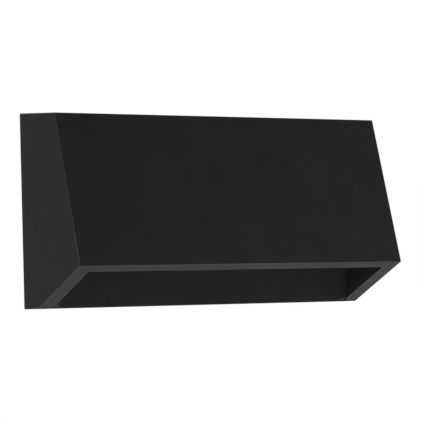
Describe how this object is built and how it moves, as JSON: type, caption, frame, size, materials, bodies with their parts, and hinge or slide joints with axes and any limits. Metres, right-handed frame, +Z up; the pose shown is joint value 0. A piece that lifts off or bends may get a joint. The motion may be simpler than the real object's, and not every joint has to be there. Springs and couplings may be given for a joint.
{
  "type": "step light",
  "caption": "Hooded wall step light: a black wedge hood over a cast back box, hung on a slotted wall bracket, that throws its light down through a frosted lens inside the recess",
  "frame": {"origin": "On the wall plane, midway between the two wall screw slots of the bracket, 20 mm above the bottom edge", "axes": "+X along the wall to the right of someone facing the light, +Y into the wall, +Z up; the front faces -Y"},
  "size_m": [0.15, 0.0421, 0.075],
  "materials": {
    "powder_coat_black": "fine-textured matte black powder coat on die-cast aluminium",
    "zinc_steel": "zinc-plated pressed steel",
    "stainless_steel": "stainless steel, satin",
    "gasket_rubber": "soft black silicone foam",
    "grommet_rubber": "soft black rubber",
    "cover_aluminium": "plain milled aluminium sheet",
    "frame_black": "matte black moulded polycarbonate",
    "lens_frosted": "frosted polycarbonate",
    "thermal_pad": "soft blue-grey thermal pad",
    "led_board": "white solder mask on an aluminium board",
    "led_phosphor": "yellow phosphor resin in white bodies",
    "driver_board": "green solder mask on glass epoxy",
    "ferrite": "dark grey sintered ferrite",
    "coil_tape": "yellow polyester tape over the winding",
    "capacitor_sleeve": "dark shrink sleeve with a bare aluminium top",
    "epoxy_black": "black moulded epoxy",
    "resistor_body": "green flameproof enamel",
    "terminal_nylon": "natural white nylon",
    "brass": "plated brass",
    "tinned_copper": "tin-plated copper",
    "lead_brown": "brown silicone insulation",
    "lead_blue": "blue silicone insulation",
    "lead_green_yellow": "green insulation with a yellow stripe",
    "lead_red": "red silicone insulation",
    "lead_black": "black silicone insulation"
  },
  "bodies": {
    "root": {"hood": "powder_coat_black", "back_box": "powder_coat_black", "hood_screws": "stainless_steel", "wall_gasket": "gasket_rubber", "wall_bracket": "zinc_steel", "clinch_nuts": "zinc_steel", "fixing_screws": "stainless_steel", "rear_cover": "cover_aluminium", "rear_gasket": "gasket_rubber", "rear_screws": "stainless_steel", "cable_grommet": "grommet_rubber", "lens_frame": "frame_black", "lens_screws": "stainless_steel", "diffuser_lens": "lens_frosted", "lens_gasket": "gasket_rubber", "thermal_pad": "thermal_pad", "led_board": "led_board", "led_chips": "led_phosphor", "board_screws": "stainless_steel", "driver_board": "driver_board", "driver_screws": "stainless_steel", "transformer_core": "ferrite", "transformer_coil": "coil_tape", "input_capacitor": "capacitor_sleeve", "output_capacitor": "capacitor_sleeve", "bridge_rectifier": "epoxy_black", "control_chip": "epoxy_black", "fuse_resistor": "resistor_body", "terminal_block": "terminal_nylon", "terminal_screws": "zinc_steel", "terminal_fixings": "stainless_steel", "earth_lug": "tinned_copper", "earth_screw": "brass", "feed_bush": "grommet_rubber", "live_lead": "lead_brown", "neutral_lead": "lead_blue", "earth_lead": "lead_green_yellow", "led_lead_red": "lead_red", "led_lead_black": "lead_black"}
  },
  "joints": []
}
